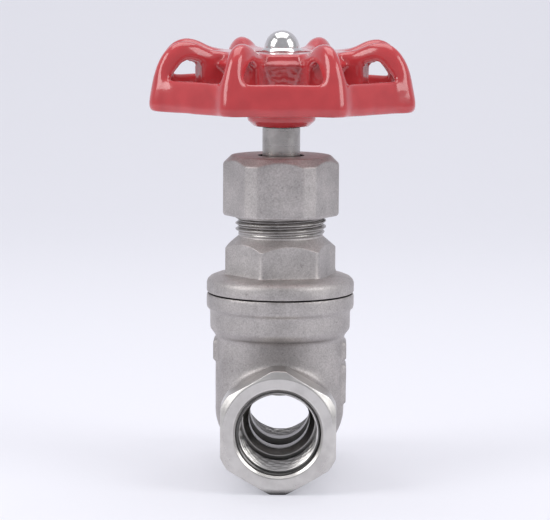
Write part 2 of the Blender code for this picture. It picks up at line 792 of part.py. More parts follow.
def wheel_sheet():
    """The wheel's outer skin as quads: skirt, arched lobes, windows and disc.

    Columns run round the wheel. Each lobe has three on its crest, at -1, 0 and 1, and one on
    each side, at -2 and 2. Three more, at -3, 3 and 4, cross the flat to the next lobe.
    """
    crest = lobe_crest()
    side_edge = lobe_side()
    foot_rows = len(crest) - len(side_edge)
    half_sector = math.pi / LOBES
    bm = bmesh.new()

    def place(lobe, radial, sideways, height):
        angle = LOBE_TURN + 2 * half_sector * lobe
        x = radial * math.cos(angle) - sideways * math.sin(angle)
        y = radial * math.sin(angle) + sideways * math.cos(angle)
        return bm.verts.new((x, y, WHEEL_BOTTOM + height))

    def flat_turn(kind):
        return half_sector if kind == 4 else math.copysign(half_sector * WINDOW_CORNER_SHARE, kind)

    def crest_vert(lobe, kind, row):
        radius, height = crest[row]
        if row >= foot_rows:
            height -= LOBE_SHOULDER_DROP * abs(kind)
        return place(lobe, radius - LOBE_SHOULDER_IN * abs(kind), kind * LOBE_CREST_HALF_WIDTH, height)

    def side_vert(lobe, kind, row):
        sideways = math.copysign(LOBE_FOOT_HALF_WIDTH, kind)
        if row >= foot_rows:
            return place(lobe, side_edge[row - foot_rows][0], sideways, side_edge[row - foot_rows][1])
        bulge = (crest[row][0] - crest[foot_rows - 1][0]) / 2
        flat = (RIM_APOTHEM - LOBE_FOOT_HALF_WIDTH * math.sin(half_sector)) / math.cos(half_sector)
        return place(lobe, flat + bulge, sideways, min(crest[row][1], SKIRT_HEIGHT))

    def flat_vert(lobe, kind, row):
        if row >= foot_rows:
            return None
        bulge = (crest[row][0] - crest[foot_rows - 1][0]) / 2
        turn = flat_turn(kind)
        reach = (RIM_APOTHEM + bulge) / math.cos(half_sector - abs(turn))
        height = min(crest[row][1], SKIRT_HEIGHT)
        return place(lobe, reach * math.cos(turn), reach * math.sin(turn), height)

    def disc_vert(lobe, kind, reach, drop):
        if abs(kind) <= 2:
            width = (0, LOBE_CREST_HALF_WIDTH, LOBE_FOOT_HALF_WIDTH)[abs(kind)]
            turn = math.copysign(math.asin(width / DISC_RADIUS), kind)
        else:
            turn = flat_turn(kind)
        fall = drop if abs(kind) > 1 else -drop / 2
        return place(lobe, reach * math.cos(turn), reach * math.sin(turn), DISC_TOP - fall)

    columns = []
    for lobe in range(LOBES):
        for kind in (-3, -2, -1, 0, 1, 2, 3, 4):
            make = crest_vert if abs(kind) <= 1 else side_vert if abs(kind) == 2 else flat_vert
            column = [make(lobe, kind, row) for row in range(len(crest))]
            column.append(disc_vert(lobe, kind, DISC_RADIUS, DISC_EDGE_DROP))
            column.append(disc_vert(lobe, kind, DISC_RADIUS - DISC_EDGE_WIDTH, 0))
            column.append(disc_vert(lobe, kind, DISC_HOLE_RADIUS, 0))
            columns.append((kind, column))
    for index, (kind, column) in enumerate(columns):
        _, after = columns[(index + 1) % len(columns)]
        for row in range(len(column) - 1):
            corners = (column[row], after[row], after[row + 1], column[row + 1])
            beside_arm = kind in (2, 3, 4, -3) and row == len(crest) - 1
            if None not in corners and not beside_arm:
                bm.faces.new(corners)
    return bm


def wheel_ribs():
    """A rib below each arm, running out from the hub."""
    ribs = []
    for lobe in range(LOBES):
        angle = LOBE_TURN + 2 * math.pi * lobe / LOBES
        corners = [
            (
                out * math.cos(angle) - sideways * math.sin(angle),
                out * math.sin(angle) + sideways * math.cos(angle),
            )
            for out, sideways in (
                (RIB_INNER, -RIB_HALF_WIDTH),
                (RIB_OUTER, -RIB_HALF_WIDTH),
                (RIB_OUTER, RIB_HALF_WIDTH),
                (RIB_INNER, RIB_HALF_WIDTH),
            )
        ]
        ribs.append(prism(f"wheel_rib_{lobe}", corners, WHEEL_BOTTOM + RIB_BOTTOM, WHEEL_BOTTOM + RIB_TOP))
    return ribs


def handwheel(parent):
    bm = wheel_sheet()
    bmesh.ops.recalc_face_normals(bm, faces=bm.faces)
    wheel = object_from(bm, "handwheel")
    wall = wheel.modifiers.new("wall", "SOLIDIFY")
    wall.thickness = WHEEL_WALL
    wall.offset = -1
    wall.use_even_offset = False
    hub = turned(
        "wheel_hub",
        [
            (0, WHEEL_BOTTOM + DISC_TOP - 0.2 * MM),
            (HUB_RADIUS, WHEEL_BOTTOM + DISC_TOP - 0.2 * MM),
            (WEB_RADIUS, WHEEL_BOTTOM + DISC_TOP - WHEEL_WALL / 2),
            (HUB_RADIUS, WHEEL_BOTTOM + WEB_BOTTOM),
            (HUB_RADIUS, hub_bottom() + 1.7 * MM),
            (HUB_FOOT_RADIUS, hub_bottom()),
            (0, hub_bottom()),
        ],
        SMALL_STEPS,
    )
    recess = turned(
        "wheel_recess",
        [
            (0, WHEEL_BOTTOM + DISC_TOP + MM),
            (RECESS_RADIUS, WHEEL_BOTTOM + DISC_TOP + MM),
            (RECESS_RADIUS, recess_floor()),
            (0, recess_floor()),
        ],
        SMALL_STEPS,
    )
    half = WHEEL_SQUARE / 2 + SQUARE_CLEARANCE
    square = block(
        "wheel_square_hole", (-half, -half, hub_bottom() - MM), (half, half, recess_floor() + MM)
    )
    boolean(wheel, "UNION", hub, *wheel_ribs())
    boolean(wheel, "DIFFERENCE", recess, square)
    return carried(wheel, "red_enamel", parent)


def wheel_fastening(parent):
    """The washer and the domed cap nut on the stem's stud."""
    inner = STUD_RADIUS + STUD_CLEARANCE
    bottom = recess_floor() + REST_GAP
    washer = ring(
        "handwheel_washer", inner, WHEEL_WASHER_RADIUS, bottom, bottom + WHEEL_WASHER_THICKNESS
    )
    carried(washer, "machined_stainless", parent)
    bottom = cap_nut_bottom()
    hex_top = bottom + CAP_NUT_HEX_HEIGHT
    top = bottom + CAP_NUT_HEIGHT
    nut = prism("cap_nut", hexagon(CAP_NUT_FLATS, 0), bottom, hex_top)
    corner_radius = CAP_NUT_FLATS / math.sqrt(3)
    blank = turned(
        "cap_nut_blank",
        [
            (0, hex_top + MM),
            (DOME_RADIUS, hex_top + MM),
            (corner_radius, hex_top - 0.7 * MM),
            (corner_radius, bottom - MM),
            (0, bottom - MM),
        ],
        SMALL_STEPS,
    )
    boolean(nut, "INTERSECT", blank)
    dome_base = top - DOME_RADIUS
    dome_outline = [(0, hex_top - MM), (DOME_RADIUS, hex_top - MM)]
    for step in range(9):
        angle = math.pi / 2 * step / 8
        dome_outline.append(
            (DOME_RADIUS * math.cos(angle) if step < 8 else 0, dome_base + DOME_RADIUS * math.sin(angle))
        )
    dome = turned("cap_nut_dome", dome_outline, SMALL_STEPS)
    hole_top = top - CAP_NUT_CROWN
    hole = turned(
        "cap_nut_hole",
        [(0, hole_top), (inner, hole_top), (inner, bottom - MM), (0, bottom - MM)],
        SMALL_STEPS,
    )
    boolean(nut, "UNION", dome)
    boolean(nut, "DIFFERENCE", hole)
    return carried(nut, "polished_stainless", parent)


# ---------------------------------------------------------------- the whole valve
def main():
    clear_scene()
    wheel_axis = axis_empty("handwheel_turn", WHEEL_BOTTOM)
    gate_guide = axis_empty("gate_lift", gate_centre())
    gland_axis = axis_empty("gland_nut_turn", NUT_BOTTOM)
    valve_body()
    seat_ring("seat_ring_front", -1)
    seat_ring("seat_ring_rear", 1)
    gate_wedge(gate_guide)
    stem(wheel_axis)
    bonnet()
    bonnet_gasket()
    packing_set()
    gland_follower(gland_axis)
    gland_nut(gland_axis)
    handwheel(wheel_axis)
    wheel_fastening(wheel_axis)


main()
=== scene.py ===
import math
import bmesh
import bpy
from mathutils import Matrix, Vector, noise


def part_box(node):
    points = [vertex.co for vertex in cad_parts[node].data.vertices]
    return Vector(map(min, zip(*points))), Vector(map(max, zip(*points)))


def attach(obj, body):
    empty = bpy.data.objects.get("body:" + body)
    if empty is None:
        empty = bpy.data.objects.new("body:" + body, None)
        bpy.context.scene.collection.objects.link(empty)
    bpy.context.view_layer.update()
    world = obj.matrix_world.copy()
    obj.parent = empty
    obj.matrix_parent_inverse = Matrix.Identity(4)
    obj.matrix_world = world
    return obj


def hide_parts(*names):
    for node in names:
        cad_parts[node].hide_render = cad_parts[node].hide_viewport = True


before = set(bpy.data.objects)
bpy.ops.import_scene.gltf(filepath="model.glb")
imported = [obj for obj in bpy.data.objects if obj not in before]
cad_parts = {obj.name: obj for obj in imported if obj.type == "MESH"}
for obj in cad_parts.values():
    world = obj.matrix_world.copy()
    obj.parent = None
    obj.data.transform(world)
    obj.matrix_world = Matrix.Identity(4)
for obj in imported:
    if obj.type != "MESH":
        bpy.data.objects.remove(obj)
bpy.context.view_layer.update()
mm = 0.001
roundSteps = 192  # sides of the turned pieces
castWander = 170  # how fine the slow waves of a cast skin are
sandGrain = 900  # how fine the rough sand-cast skin inside the wheel is

# places read from the model
seatLow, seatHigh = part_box("seat_ring_front")
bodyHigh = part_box("valve_body")[1]
bonnetLow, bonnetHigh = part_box("bonnet")
nutLow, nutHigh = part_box("gland_nut")
stemLow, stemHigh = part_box("stem")
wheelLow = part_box("handwheel")[0]
capLow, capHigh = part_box("cap_nut")
washerLow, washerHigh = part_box("handwheel_washer")
portZ = (seatLow.z + seatHigh.z) / 2
endFace = bodyHigh.y
flangeTop = bodyHigh.z
print("frame loaded")


# small helpers for node trees
def addNode(tree, kind, inputs=None, **settings):
    node = tree.nodes.new(kind)
    for name, value in settings.items():
        setattr(node, name, value)
    for name, value in (inputs or {}).items():
        if isinstance(value, bpy.types.NodeSocket):
            tree.links.new(value, node.inputs[name])
        else:
            node.inputs[name].default_value = value
    return node


def calc(tree, operation, first, second=0.0, third=0.0):
    values = {0: first, 1: second}
    if operation == "MULTIPLY_ADD":
        values[2] = third
    return addNode(tree, "ShaderNodeMath", values, operation=operation).outputs[0]


def mixColour(tree, blend, factor, first, second):
    node = tree.nodes.new("ShaderNodeMix")
    node.data_type = "RGBA"
    node.blend_type = blend
    for index, value in ((0, factor), (6, first), (7, second)):
        if isinstance(value, bpy.types.NodeSocket):
            tree.links.new(value, node.inputs[index])
        else:
            node.inputs[index].default_value = value
    return node.outputs[2]


# materials
def hollowShade(tree, reach, low=0.25, high=0.8):
    # 1 deep inside grooves and slots, 0 on open faces
    openness = addNode(tree, "ShaderNodeAmbientOcclusion", {"Distance": reach}, samples=8).outputs["AO"]
    return colourRamp(tree, openness, [(low, grey(1)), (high, grey(0))])


def newMaterial(name, roughness, metallic, **sockets):
    material = bpy.data.materials.new(name)
    material.use_nodes = True
    shader = material.node_tree.nodes["Principled BSDF"]
    shader.inputs["Roughness"].default_value = roughness
    shader.inputs["Metallic"].default_value = metallic
    for socket, value in sockets.items():
        shader.inputs[socket.replace("_", " ")].default_value = value
    return material, material.node_tree, shader


def objectNoise(tree, scale, detail=2.0, roughness=0.5, stretch=(1, 1, 1)):
    place = addNode(tree, "ShaderNodeTexCoord").outputs["Object"]
    place = addNode(tree, "ShaderNodeMapping", {"Vector": place, "Scale": stretch}).outputs[0]
    inputs = {"Vector": place, "Scale": scale, "Detail": detail, "Roughness": roughness}
    return addNode(tree, "ShaderNodeTexNoise", inputs).outputs["Fac"]


def colourRamp(tree, factor, stops):
    node = addNode(tree, "ShaderNodeValToRGB", {"Fac": factor})
    ramp = node.color_ramp
    while len(ramp.elements) < len(stops):
        ramp.elements.new(0.5)
    for element, (position, colour) in zip(ramp.elements, stops):
        element.position = position
        element.color = (*colour, 1.0) if len(colour) == 3 else colour
    return node.outputs["Color"]


def grey(value):
    return (value, value, value, 1.0)


def bumpOf(tree, height, distance, strength=1.0, normal=None):
    inputs = {"Height": height, "Distance": distance, "Strength": strength}
    if normal is not None:
        inputs["Normal"] = normal
    return addNode(tree, "ShaderNodeBump", inputs).outputs["Normal"]


castSettings = {
    # light and dark are the grain tones; the third colour is painted shade for creases and corners
    "light": (0.56, 0.532, 0.52), "dark": (0.41, 0.383, 0.37), "creaseShade": (0.235, 0.205, 0.19),
    "grain": 2600, "grainDepth": 0.035 * mm, "pits": 900, "roughness": 0.50,
}


def blastedSteel():
    s = castSettings
    material, tree, shader = newMaterial("blastedSteel", s["roughness"], 0.9)
    fine = objectNoise(tree, s["grain"], 2.0, 0.6)
    broad = objectNoise(tree, 160, 3.0, 0.55)
    pitSpots = objectNoise(tree, s["pits"], 1.0, 0.4)
    pits = colourRamp(tree, pitSpots, [(0.20, grey(0.35)), (0.31, grey(1))])
    base = colourRamp(tree, fine, [(0.30, s["dark"]), (0.68, s["light"])])
    patch = colourRamp(tree, broad, [(0.28, grey(0.80)), (0.66, grey(1.06))])
    base = mixColour(tree, "MULTIPLY", 1.0, base, patch)
    # painted shade: creases and corners are painted a brownish dark where little ambient light reaches
    creaseShade = calc(tree, "MULTIPLY", hollowShade(tree, 2.2 * mm, 0.35, 0.85), 0.35)
    base = mixColour(tree, "MIX", creaseShade, base, (*s["creaseShade"], 1))
    # painted shade: deep hollows such as the bore and the gate chamber are painted nearly black
    base = mixColour(tree, "MIX", hollowShade(tree, 14 * mm, 0.12, 0.42), base, (0.006, 0.006, 0.006, 1))
    base = mixColour(tree, "MULTIPLY", 0.35, base, pits)
    tree.links.new(base, shader.inputs["Base Color"])
    height = calc(tree, "ADD", fine, calc(tree, "MULTIPLY", pits, 0.8))
    tree.links.new(bumpOf(tree, height, s["grainDepth"]), shader.inputs["Normal"])
    rough = calc(tree, "MULTIPLY_ADD", broad, 0.16, s["roughness"] - 0.06)
    tree.links.new(rough, shader.inputs["Roughness"])
    return material


toolLines = {"scale": 2400, "depth": 0.012 * mm}


def turnedSteel(name, light, dark, roughness, axis, shade=1.3, paintedShadeRadius=None):
    # fine tool lines run round the axis, and their height changes along it and with radius
    material, tree, shader = newMaterial(name, roughness, 1.0)
    place = addNode(tree, "ShaderNodeTexCoord").outputs["Object"]
    parts = addNode(tree, "ShaderNodeSeparateXYZ", {"Vector": place}).outputs
    if axis == "Y":
        across, along = calc(tree, "SUBTRACT", parts["Z"], portZ), parts["Y"]
    else:
        across, along = parts["Y"], parts["Z"]
    square = calc(tree, "MULTIPLY", parts["X"], parts["X"])
    radius = calc(tree, "SQRT", calc(tree, "ADD", square, calc(tree, "MULTIPLY", across, across)))
    spot = addNode(tree, "ShaderNodeCombineXYZ", {"X": radius, "Y": along, "Z": 0.0}).outputs[0]
    lines = addNode(tree, "ShaderNodeTexNoise", {
        "Vector": spot, "Scale": toolLines["scale"], "Detail": 3.0}).outputs["Fac"]
    smear = objectNoise(tree, 220, 3.0, 0.6)
    base = colourRamp(tree, smear, [(0.3, dark), (0.62, light)])
    # painted shade: grooves and slots are painted nearly black
    base = mixColour(tree, "MIX", hollowShade(tree, shade * mm, 0.30, 0.72), base, (0.008, 0.008, 0.009, 1))
    if paintedShadeRadius:  # painted shade: everything deeper than this radius is painted dark, so the thread roots look shaded
        deep = calc(tree, "MULTIPLY", calc(tree, "GREATER_THAN", radius, paintedShadeRadius), 0.85)
        base = mixColour(tree, "MIX", deep, base, (0.02, 0.02, 0.021, 1))
    tree.links.new(base, shader.inputs["Base Color"])
    rough = calc(tree, "MULTIPLY_ADD", lines, 0.16, roughness - 0.07)
    tree.links.new(calc(tree, "MULTIPLY_ADD", smear, 0.10, calc(tree, "SUBTRACT", rough, 0.05)),
                   shader.inputs["Roughness"])
    tree.links.new(bumpOf(tree, lines, toolLines["depth"]), shader.inputs["Normal"])
    return material


def chromeSteel():
    material, tree, shader = newMaterial("chromeSteel", 0.16, 1.0)
    smear = objectNoise(tree, 500, 3.0, 0.6)
    base = colourRamp(tree, smear, [(0.3, (0.70, 0.68, 0.665)), (0.7, (0.80, 0.78, 0.77))])
    tree.links.new(base, shader.inputs["Base Color"])
    scratches = objectNoise(tree, 1500, 2.0, 0.5, (1, 1, 0.15))
    tree.links.new(calc(tree, "MULTIPLY_ADD", smear, 0.12, 0.10), shader.inputs["Roughness"])
    tree.links.new(bumpOf(tree, scratches, 0.004 * mm), shader.inputs["Normal"])
    return material


enamelSettings = {
    # light and deep are random paint tones; dark is painted shade for the pockets
    "light": (0.52, 0.042, 0.048), "deep": (0.45, 0.034, 0.040), "dark": (0.13, 0.014, 0.016),
    "roughness": 0.20, "ripple": 260, "rippleDepth": 0.10 * mm,
}


def redEnamel():
    s = enamelSettings
    material, tree, shader = newMaterial(
        "redEnamel", s["roughness"], 0.0, Coat_Weight=0.7, Coat_Roughness=0.06)
    ripple = objectNoise(tree, s["ripple"], 1.0, 0.4)
    speck = objectNoise(tree, 2200, 2.0, 0.6)
    base = colourRamp(tree, ripple, [(0.25, s["deep"]), (0.65, s["light"])])
    # painted shade: the wheel's pockets and hollows are painted dark red, partly also standing for the thin
    # rough paint inside the casting
    hollow = hollowShade(tree, 5 * mm, 0.25, 0.75)
    base = mixColour(tree, "MIX", calc(tree, "MULTIPLY", hollow, 0.7), base, (*s["dark"], 1))
    tree.links.new(base, shader.inputs["Base Color"])
    smooth = bumpOf(tree, ripple, s["rippleDepth"])
    tree.links.new(bumpOf(tree, speck, 0.004 * mm, 1.0, smooth), shader.inputs["Normal"])
    tree.links.new(smooth, shader.inputs["Coat Normal"])
    return material


def softPlastic(name, colour, roughness):
    material, tree, shader = newMaterial(name, roughness, 0.0)
    cloud = objectNoise(tree, 700, 3.0, 0.6)
    dark = tuple(value * 0.8 for value in colour)
    tree.links.new(colourRamp(tree, cloud, [(0.3, dark), (0.7, colour)]), shader.inputs["Base Color"])
    tree.links.new(bumpOf(tree, cloud, 0.01 * mm), shader.inputs["Normal"])
    return material


finishes = {
    "cast": blastedSteel(),
    "port": turnedSteel("portSteel", (0.66, 0.64, 0.615), (0.53, 0.51, 0.49), 0.30, "Y", 2.4),
    # the thread finish paints shade into the thread roots deeper than 9.85 mm
    "portThread": turnedSteel(
        "threadSteel", (0.72, 0.70, 0.675), (0.62, 0.60, 0.58), 0.30, "Y", 1.4, 9.85 * mm),
    "seat": turnedSteel("seatSteel", (0.40, 0.385, 0.37), (0.29, 0.28, 0.27), 0.36, "Y"),
    "shaft": turnedSteel("shaftSteel", (0.47, 0.45, 0.43), (0.31, 0.295, 0.28), 0.28, "Z", 0.9),
    "chrome": chromeSteel(),
    "enamel": redEnamel(),
    "ptfe": softPlastic("waxyPtfe", (0.80, 0.80, 0.77), 0.45),
    "graphite": softPlastic("dullGraphite", (0.035, 0.035, 0.036), 0.7),
}
print("materials made")


# small helpers for meshes
def roundedHex(angle, flats, corner, firstCorner):
    # distance from the axis to a hexagon's outline with rounded corners
    half = flats / 2
    turn = (angle - firstCorner) % (math.pi / 3)
    fromFlat = abs(turn - math.pi / 6)
    centre = (half - corner) / math.cos(math.pi / 6)
    if math.tan(fromFlat) <= (half - corner) * math.tan(math.pi / 6) / half:
        return half / math.cos(fromFlat)
    fromCorner = math.pi / 6 - fromFlat
    return centre * math.cos(fromCorner) + math.sqrt(corner**2 - (centre * math.sin(fromCorner)) ** 2)


def turnRows(bm, rows, steps=roundSteps):
    # a closed outline of (radius, height) rows turned about Z; either may be a function of the angle
    rings = []
    for radius, height in rows:
        ring = []
        for step in range(1 if radius == 0 else steps):
            angle = 2 * math.pi * step / steps
            r = radius(angle) if callable(radius) else radius
            z = height(angle) if callable(height) else height
            ring.append(bm.verts.new((r * math.cos(angle), r * math.sin(angle), z)))
        rings.append(ring)
    for near, far in zip(rings, rings[1:] + rings[:1]):
        if len(near) == 1 and len(far) == 1:
            continue
        for step in range(steps):
            after = (step + 1) % steps
            corners = [near[step % len(near)], near[after % len(near)],
                       far[after % len(far)], far[step % len(far)]]
            bm.faces.new(list(dict.fromkeys(corners)))


def blockIn(bm, low, high):
    made = bmesh.ops.create_cube(bm, size=1.0)["verts"]
    centre = (Vector(low) + Vector(high)) / 2
    size = Vector(high) - Vector(low)
    for vert in made:
        vert.co = Vector(a * b for a, b in zip(vert.co, size)) + centre


def objectFrom(bm, name, smoothAngle=32):
    bmesh.ops.recalc_face_normals(bm, faces=bm.faces)
    mesh = bpy.data.meshes.new(name)
    bm.to_mesh(mesh)
    bm.free()
    mesh.shade_smooth()
    mesh.set_sharp_from_angle(angle=math.radians(smoothAngle))
    piece = bpy.data.objects.new(name, mesh)
    bpy.context.scene.collection.objects.link(piece)
    return piece


def applied(piece, smoothAngle=None):
    # the piece with its modifiers made real
    graph = bpy.context.evaluated_depsgraph_get()
    graph.update()
    mesh = bpy.data.meshes.new_from_object(piece.evaluated_get(graph))
    mesh.name = piece.name
    piece.modifiers.clear()
    piece.data = mesh
    mesh.shade_smooth()
    if smoothAngle:
        mesh.set_sharp_from_angle(angle=math.radians(smoothAngle))
    return piece


def softEdges(piece, width, segments=2, angle=28):
    bevel = piece.modifiers.new("softEdges", "BEVEL")
    bevel.width = width
    bevel.segments = segments
    bevel.limit_method = "ANGLE"
    bevel.angle_limit = math.radians(angle)
    bevel.harden_normals = True
    return piece


def finishPiece(piece, finish, body, slot, *nodes):
    piece.data.materials.clear()
    piece.data.materials.append(finishes[finish])
    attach(piece, body)
    if nodes:
        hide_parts(*nodes)
    return piece


def cutAway(piece, tool):
    cut = piece.modifiers.new("cut", "BOOLEAN")
    cut.operation = "DIFFERENCE"
    cut.solver = "MANIFOLD"
    cut.object = tool
    applied(piece)
    bpy.data.objects.remove(tool)
    return piece


def roughened(piece, height):
    # moves every point along its normal by height(place, normal)
    verts = piece.data.vertices
    places = [vert.co.copy() for vert in verts]
    normals = [vert.normal.copy() for vert in verts]
    moved = [place + normal * height(place, normal) for place, normal in zip(places, normals)]
    verts.foreach_set("co", [value for place in moved for value in place])
    piece.data.update()
    return piece


def castSkin(piece, voxel, rounds, wander):
    # one closed skin over overlapping shapes, its inner corners filled like a casting's
    skin = piece.modifiers.new("skin", "REMESH")
    skin.mode = "VOXEL"
    skin.voxel_size = voxel
    settle = piece.modifiers.new("settle", "SMOOTH")
    settle.factor = 0.5
    settle.iterations = rounds
    applied(piece)
    return roughened(piece, lambda place, normal: wander * noise.noise(place * castWander))


def fillCorners(piece, weight, rounds):
    # more smoothing where weight(place) is high
    group = piece.vertex_groups.new(name="soft")
    for vert in piece.data.vertices:
        share = weight(vert.co)
        if share > 0.02:
            group.add([vert.index], min(share, 1.0), "REPLACE")
    settle = piece.modifiers.new("fill", "SMOOTH")
    settle.factor = 0.5
    settle.iterations = rounds
    settle.vertex_group = "soft"
    applied(piece)
    piece.vertex_groups.clear()
    return piece


def band(value, low, high, fade):
    # 1 between low and high, falling to 0 over fade on either side
    return max(0.0, min(1.0, (value - low) / fade + 1, (high - value) / fade + 1))


# screw threads, made by one Geometry Nodes tree
def threadTree():
    tree = bpy.data.node_groups.new("screwThread", "GeometryNodeTree")
    tree.interface.new_socket("Geometry", in_out="INPUT", socket_type="NodeSocketGeometry")
    for name in ("Root Radius", "Crest Radius", "Back Radius", "Start", "Length", "Pitch"):
        tree.interface.new_socket(name, in_out="INPUT", socket_type="NodeSocketFloat")
    for name in ("Steps", "Rows"):
        tree.interface.new_socket(name, in_out="INPUT", socket_type="NodeSocketInt")
    tree.interface.new_socket("Material", in_out="INPUT", socket_type="NodeSocketMaterial")
    tree.interface.new_socket("Geometry", in_out="OUTPUT", socket_type="NodeSocketGeometry")
    given = addNode(tree, "NodeGroupInput").outputs

    def wall(rowCount):
        grid = addNode(tree, "GeometryNodeMeshGrid", {
            "Size X": 1.0, "Size Y": 1.0,
            "Vertices X": calc(tree, "ADD", given["Steps"], 1.0), "Vertices Y": rowCount})
        parts = addNode(tree, "ShaderNodeSeparateXYZ", {
            "Vector": addNode(tree, "GeometryNodeInputPosition").outputs[0]}).outputs
        return grid.outputs["Mesh"], calc(tree, "ADD", parts["X"], 0.5), calc(tree, "ADD", parts["Y"], 0.5)

    def placed(mesh, turn, radius, height):
        angle = calc(tree, "MULTIPLY", turn, 2 * math.pi)
        x = calc(tree, "MULTIPLY", radius, calc(tree, "COSINE", angle))
        y = calc(tree, "MULTIPLY", radius, calc(tree, "SINE", angle))
        place = addNode(tree, "ShaderNodeCombineXYZ", {"X": x, "Y": y, "Z": height}).outputs[0]
        return addNode(tree, "GeometryNodeSetPosition", {"Geometry": mesh, "Position": place}).outputs[0]

    # the threaded wall: a blunt vee that follows the helix and runs out at both ends
    mesh, turn, share = wall(given["Rows"])
    height = calc(tree, "MULTIPLY", share, given["Length"])
    phase = calc(tree, "FRACT", calc(tree, "SUBTRACT", calc(tree, "DIVIDE", height, given["Pitch"]), turn))
    vee = calc(tree, "ABSOLUTE", calc(tree, "MULTIPLY_ADD", phase, 2.0, -1.0))
    vee = addNode(tree, "ShaderNodeClamp", {"Value": calc(tree, "MULTIPLY_ADD", vee, -1.5, 1.3)}).outputs[0]
    edge = calc(tree, "MINIMUM", height, calc(tree, "SUBTRACT", given["Length"], height))
    runOut = addNode(tree, "ShaderNodeClamp", {
        "Value": calc(tree, "DIVIDE", edge, given["Pitch"])}).outputs[0]
    depth = calc(tree, "SUBTRACT", given["Crest Radius"], given["Root Radius"])
    lift = calc(tree, "MULTIPLY", depth, calc(tree, "MULTIPLY", vee, runOut))
    radius = calc(tree, "ADD", given["Root Radius"], lift)
    threaded = placed(mesh, turn, radius, calc(tree, "ADD", given["Start"], height))

    # the plain back wall and the two end faces
    mesh, turn, share = wall(4)
    middle = calc(tree, "LESS_THAN", calc(tree, "ABSOLUTE", calc(tree, "SUBTRACT", share, 0.5)), 0.4)
    step = calc(tree, "MULTIPLY", middle, calc(tree, "SUBTRACT", given["Back Radius"], given["Root Radius"]))
    far = calc(tree, "GREATER_THAN", share, 0.5)
    height = calc(tree, "MULTIPLY_ADD", far, given["Length"], given["Start"])
    back = placed(mesh, turn, calc(tree, "ADD", given["Root Radius"], step), height)

    both = addNode(tree, "GeometryNodeJoinGeometry")
    tree.links.new(threaded, both.inputs[0])
    tree.links.new(back, both.inputs[0])
    merged = addNode(tree, "GeometryNodeMergeByDistance", {
        "Geometry": both.outputs[0], "Distance": 0.002 * mm})
    real = addNode(tree, "GeometryNodeRealizeInstances", {"Geometry": merged.outputs[0]})
    coated = addNode(tree, "GeometryNodeSetMaterial", {
        "Geometry": real.outputs[0], "Material": given["Material"]})
    tree.links.new(coated.outputs[0], addNode(tree, "NodeGroupOutput").inputs[0])
    return tree


screwThread = threadTree()


def threadPiece(name, finish, settings):
    holder = bpy.data.objects.new(name, bpy.data.meshes.new(name))
    bpy.context.scene.collection.objects.link(holder)
    modifier = holder.modifiers.new("thread", "NODES")
    modifier.node_group = screwThread
    sockets = screwThread.interface.items_tree
    names = {item.name: item.identifier for item in sockets if item.in_out == "INPUT"}
    for label, value in settings.items():
        modifier[names[label]] = value
    modifier[names["Material"]] = finishes[finish]
    applied(holder)
    bm = bmesh.new()
    bm.from_mesh(holder.data)
    bmesh.ops.recalc_face_normals(bm, faces=bm.faces)
    bm.to_mesh(holder.data)
    bm.free()
    holder.data.set_sharp_from_angle(angle=math.radians(50))
    return holder


def facingPort(piece, side):
    # turns a piece made along Z to lie on the pipe axis, pointing out of one end
    piece.data.transform(Matrix.Translation((0, 0, portZ)) @ Matrix.Rotation(-side * math.pi / 2, 4, "X"))
    return piece


# pipe ends
endSettings = {
    "flats": 28.6 * mm, "corner": 0.4 * mm, "cornerRadius": 15.6 * mm,
    "length": 10 * mm, "faceRadius": 13.85 * mm, "chamferSlope": 1.74,
    "mouth": 11.25 * mm, "threadRoot": 10.5 * mm, "threadCrest": 9.5 * mm,
    "threadDepth": 16.5 * mm, "pitch": 1.81 * mm,
    "undercut": 10.95 * mm, "undercutLength": 2.0 * mm, "shoulder": 9.1 * mm, "shoulderLength": 2.0 * mm,
    "bore": 7.72 * mm, "lip": 0.5 * mm, "sleeve": 11.75 * mm,
}


def pipeEnd(side, name):
    s = endSettings

    def hexEdge(angle):
        reach = min(roundedHex(angle, s["flats"], s["corner"], math.pi / 2), s["cornerRadius"])
        down = math.sin(angle) * side  # the piece is made lying on its face, so its underside is turned up
        return min(reach, portZ / max(down, 0.1))

    def chamferPlace(angle):
        return endFace - max(hexEdge(angle) - s["faceRadius"], 0.1 * mm) / s["chamferSlope"]

    back = endFace - s["length"]
    threadEnd = endFace - s["threadDepth"]
    shoulder = threadEnd - s["undercutLength"]
    lip = shoulder - s["shoulderLength"]
    bm = bmesh.new()
    turnRows(bm, [
        (s["sleeve"], lip - s["lip"]), (s["sleeve"], back),
        (lambda angle: hexEdge(angle) - 0.5 * mm, back), (hexEdge, back + 0.5 * mm), (hexEdge, chamferPlace),
        (s["faceRadius"], endFace), (s["mouth"], endFace),
        (s["threadRoot"], endFace - (s["mouth"] - s["threadRoot"])), (s["threadRoot"], threadEnd),
        (s["undercut"], threadEnd), (s["undercut"], shoulder), (s["shoulder"], shoulder),
        (s["bore"], lip), (s["bore"], lip - s["lip"]),
    ])
    piece = facingPort(objectFrom(bm, name), side)
    softEdges(piece, 0.22 * mm)
    finishPiece(piece, "port", "valve", "machined_stainless")
    start = threadEnd - 0.1 * mm
    thread = threadPiece(name + "Thread", "portThread", {
        "Root Radius": s["threadRoot"] + 0.06 * mm, "Crest Radius": s["threadCrest"],
        "Back Radius": s["threadRoot"] + 0.5 * mm,
        "Start": start, "Length": endFace - 0.75 * mm - start, "Pitch": s["pitch"],
        "Steps": 160, "Rows": 120})
    facingPort(thread, side)
    finishPiece(thread, "portThread", "valve", "machined_stainless")
    return piece


